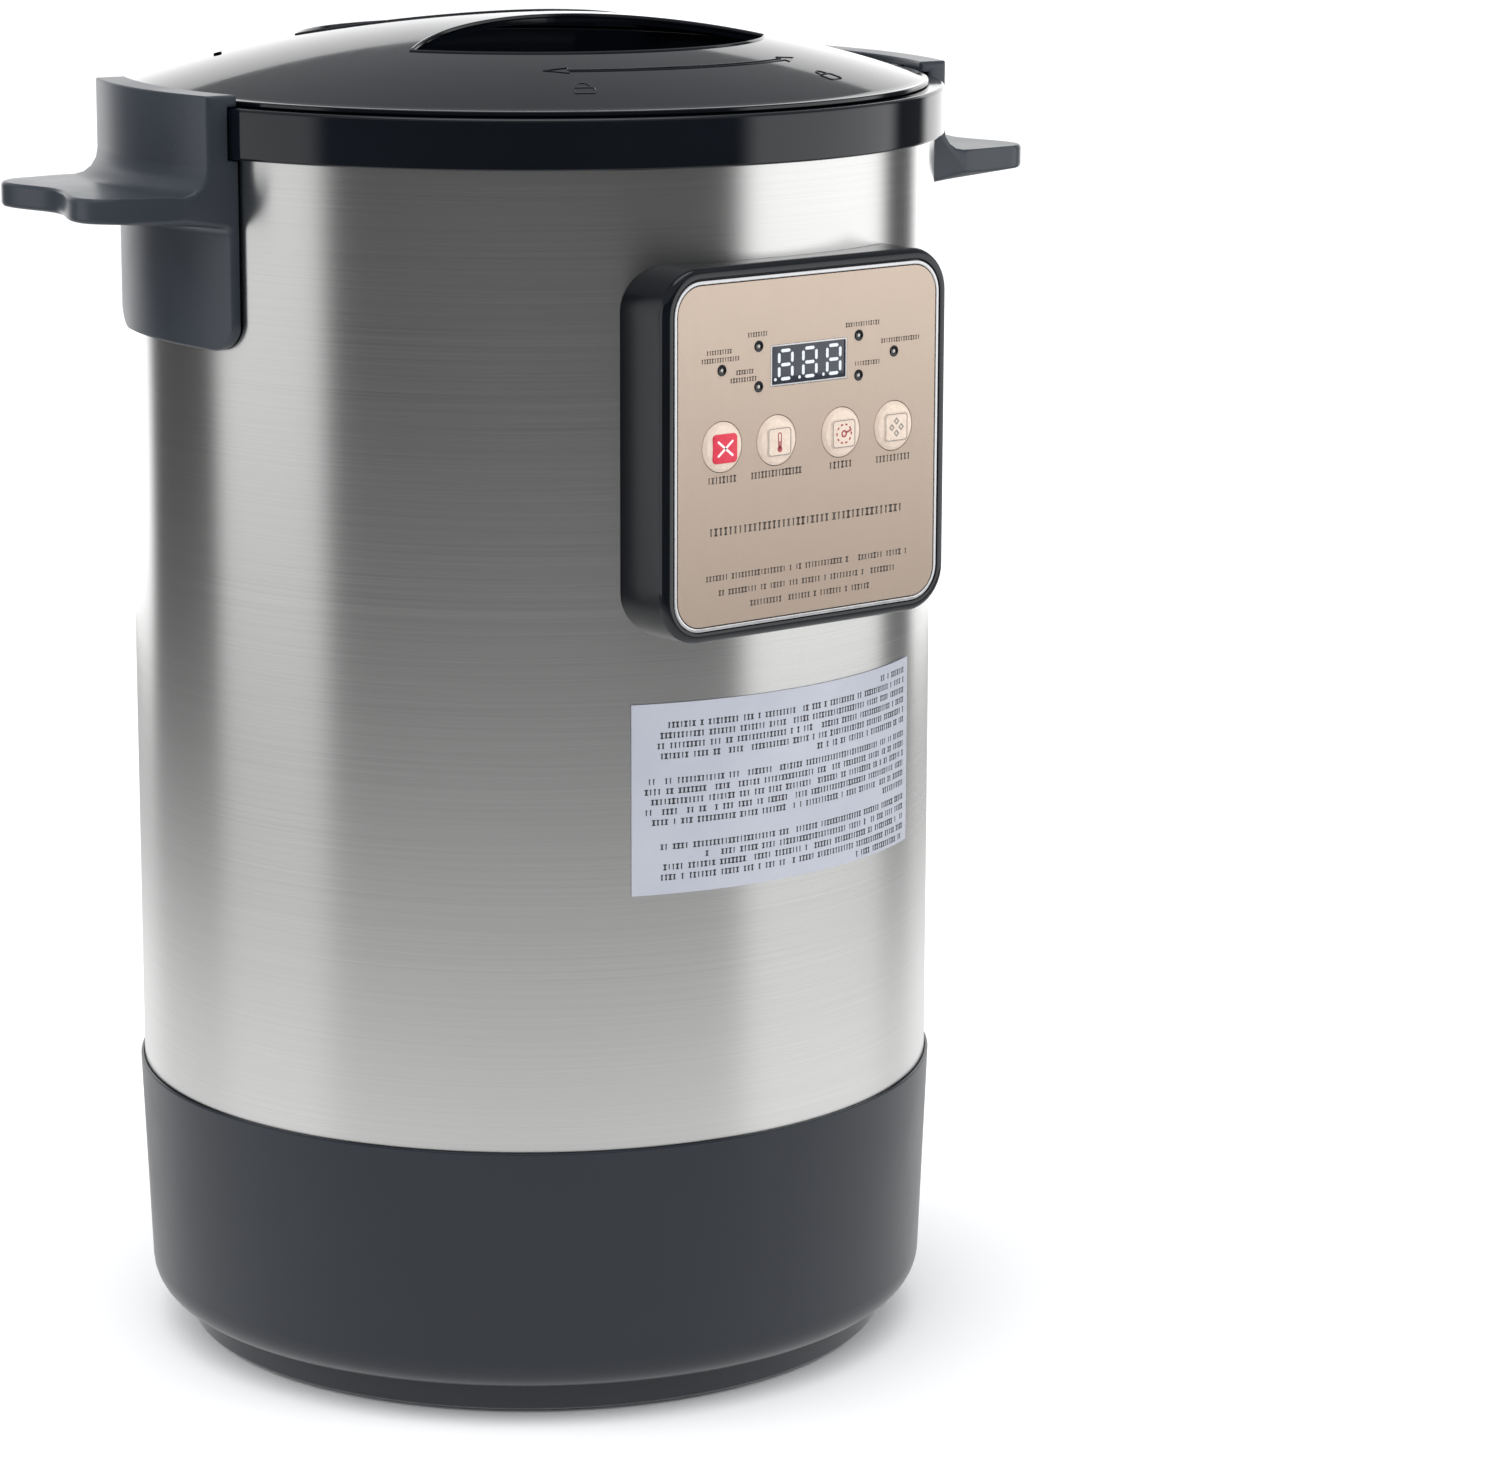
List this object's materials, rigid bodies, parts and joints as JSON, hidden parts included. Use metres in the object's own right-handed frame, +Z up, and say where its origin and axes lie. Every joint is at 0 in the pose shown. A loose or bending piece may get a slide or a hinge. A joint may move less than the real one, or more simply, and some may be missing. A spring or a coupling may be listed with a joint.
{
  "type": "yogurt maker",
  "caption": "Upright electric fermenter: brushed steel drum on a dark base, fixed inner pot, bayonet dome lid with a sunken grip, two side handles and a front control box.",
  "frame": {"origin": "on the drum's axis, on the surface that the rubber feet stand on", "axes": "+Z up along the drum's axis, -Y towards the control box, +X to the right of someone facing it"},
  "size_m": [0.3502, 0.2802, 0.432],
  "materials": {
    "steel": "fine horizontal brushing",
    "pot_steel": "satin spun finish",
    "zinc": "zinc plated",
    "aluminium": "cast, dull",
    "base_plastic": "fine moulded texture",
    "handle_plastic": "satin",
    "gloss_black": "polished",
    "panel_gold": "satin champagne film",
    "silver_trim": "bright",
    "button_cream": "satin",
    "button_red": "satin",
    "display_dark": "smoked",
    "rubber": "matte",
    "silicone": "matte, translucent white",
    "foam": "needled felt",
    "circuit_board": "solder mask",
    "component": "moulded",
    "wire": "matte",
    "label_film": "satin film"
  },
  "bodies": {
    "cabinet": {"base_housing": "base_plastic", "base_bottom_cover": "base_plastic", "rubber_foot_1": "rubber", "rubber_foot_2": "rubber", "rubber_foot_3": "rubber", "rubber_foot_4": "rubber", "base_screw_1": "zinc", "base_screw_2": "zinc", "base_screw_3": "zinc", "base_screw_4": "zinc", "inlet_screw_1": "zinc", "inlet_screw_2": "zinc", "heater_bracket": "zinc", "handle_screw_right_1": "zinc", "handle_screw_right_2": "zinc", "handle_screw_left_1": "zinc", "handle_screw_left_2": "zinc", "panel_screw_1": "zinc", "panel_screw_2": "zinc", "panel_screw_3": "zinc", "panel_screw_4": "zinc", "mains_inlet": "component", "relay": "component", "display_module": "component", "power_board": "circuit_board", "control_board": "circuit_board", "transformer": "aluminium", "heating_plate": "aluminium", "temperature_sensor": "aluminium", "thermal_fuse": "silver_trim", "panel_trim": "silver_trim", "steel_shell": "steel", "top_rim": "gloss_black", "control_housing": "gloss_black", "inner_pot": "pot_steel", "pot_seal": "silicone", "insulation_sleeve": "foam", "panel_cable": "wire", "inlet_wires": "wire", "heater_wires": "wire", "handle_right": "handle_plastic", "handle_left": "handle_plastic", "panel_overlay": "panel_gold", "display_window": "display_dark", "notice_label": "label_film"},
    "inner_lid": {"inner_lid": "pot_steel", "lid_gasket": "silicone", "pivot_washer": "zinc"},
    "lid": {"lid_cover": "gloss_black", "grip_well": "gloss_black", "pivot_screw": "zinc", "lid_screw_1": "zinc", "lid_screw_2": "zinc", "lid_screw_3": "zinc", "lid_screw_4": "zinc"},
    "button_cancel": {"button_cancel": "button_red"},
    "button_temperature": {"button_temperature": "button_cream"},
    "button_time": {"button_time": "button_cream"},
    "button_function": {"button_function": "button_cream"}
  },
  "joints": [
    {"name": "lid_lift", "type": "slide", "parent": "cabinet", "child": "inner_lid", "axis": [0, 0, 1], "range_m": [0, 0.15]},
    {"name": "lid_turn", "type": "hinge", "parent": "inner_lid", "child": "lid", "pos_m": [0, 0, 0.4102], "axis": [0, 0, 1], "range_deg": [0, 15]},
    {"name": "button_cancel_press", "type": "slide", "parent": "cabinet", "child": "button_cancel", "axis": [0, 1, 0], "range_m": [0, 0.0006], "stiffness_N_per_m": 1000},
    {"name": "button_temperature_press", "type": "slide", "parent": "cabinet", "child": "button_temperature", "axis": [0, 1, 0], "range_m": [0, 0.0006], "stiffness_N_per_m": 1000},
    {"name": "button_time_press", "type": "slide", "parent": "cabinet", "child": "button_time", "axis": [0, 1, 0], "range_m": [0, 0.0006], "stiffness_N_per_m": 1000},
    {"name": "button_function_press", "type": "slide", "parent": "cabinet", "child": "button_function", "axis": [0, 1, 0], "range_m": [0, 0.0006], "stiffness_N_per_m": 1000}
  ]
}
